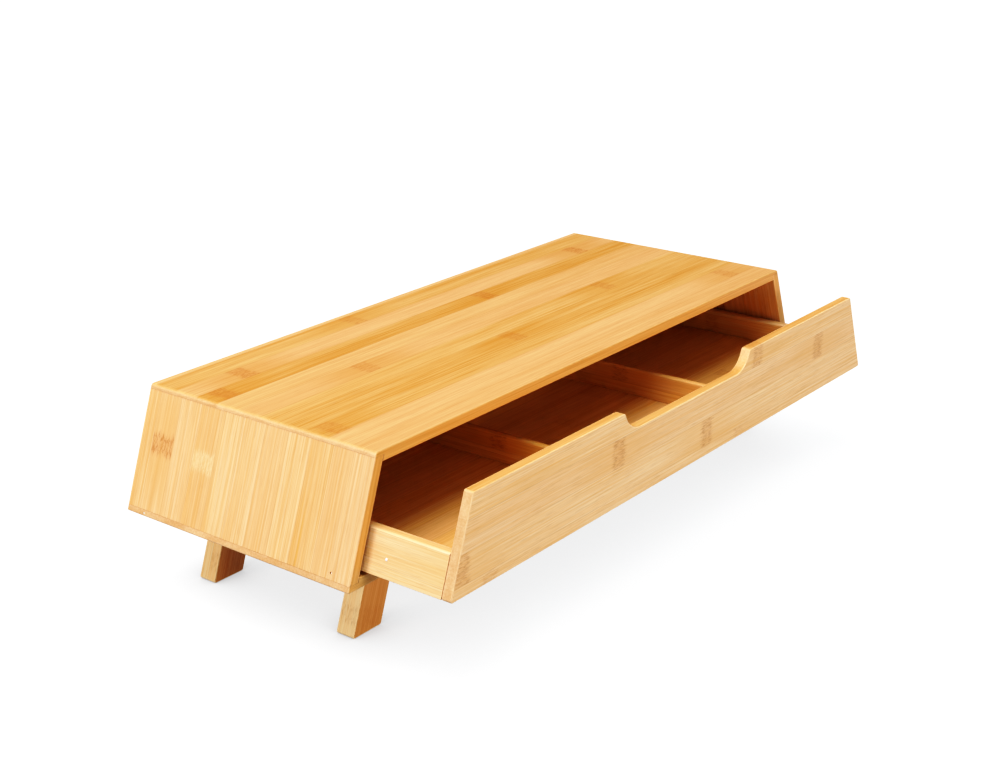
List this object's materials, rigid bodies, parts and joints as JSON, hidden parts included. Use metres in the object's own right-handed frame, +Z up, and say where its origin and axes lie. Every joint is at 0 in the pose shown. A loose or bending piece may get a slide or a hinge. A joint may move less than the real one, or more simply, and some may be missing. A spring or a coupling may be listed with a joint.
{
  "type": "laptop stand",
  "caption": "Low bamboo laptop stand: a flat case with leaning sides on splayed legs, with a full-width drawer, divided inside, that slides out of its front and has a finger notch.",
  "frame": {"origin": "on the surface it stands on, below the middle of the outline with the drawer 68 mm out", "axes": "+Z up, +X to the right along the case, -Y the way the drawer opens"},
  "size_m": [0.5332, 0.268, 0.135],
  "materials": {
    "bamboo_top": "golden laminated bamboo, strips along the board, thin satin lacquer",
    "bamboo_side": "pale honey laminated bamboo with upright strips, thin satin lacquer",
    "bamboo_leg": "darker bamboo with the strips along the leg, thin satin lacquer",
    "bamboo_front": "tan laminated bamboo, strips along the board, thin satin lacquer",
    "bamboo_drawer": "pale laminated bamboo, strips along each board, thin satin lacquer",
    "steel": "bright zinc-plated steel"
  },
  "bodies": {
    "case": {"top_panel": "bamboo_top", "bottom_panel": "bamboo_top", "back_panel": "bamboo_top", "side_panel_left": "bamboo_side", "side_panel_right": "bamboo_side", "runner_left": "bamboo_drawer", "runner_right": "bamboo_drawer", "leg_front_left": "bamboo_leg", "leg_front_right": "bamboo_leg", "leg_back_left": "bamboo_leg", "leg_back_right": "bamboo_leg", "leg_screw_front_left_1": "steel", "leg_screw_front_left_2": "steel", "leg_screw_front_right_1": "steel", "leg_screw_front_right_2": "steel", "leg_screw_back_left_1": "steel", "leg_screw_back_left_2": "steel", "leg_screw_back_right_1": "steel", "leg_screw_back_right_2": "steel", "case_brad_front_left": "steel", "case_brad_front_right": "steel", "case_brad_back_left": "steel", "case_brad_back_right": "steel"},
    "drawer": {"drawer_front": "bamboo_front", "drawer_side_left": "bamboo_drawer", "drawer_side_right": "bamboo_drawer", "drawer_back": "bamboo_drawer", "drawer_floor": "bamboo_drawer", "divider_left": "bamboo_drawer", "divider_right": "bamboo_drawer", "drawer_tack_left": "steel", "drawer_tack_right": "steel"}
  },
  "joints": [
    {"name": "drawer_slide", "type": "slide", "parent": "case", "child": "drawer", "axis": [0, -1, 0], "range_m": [-0.068, 0.075]}
  ]
}
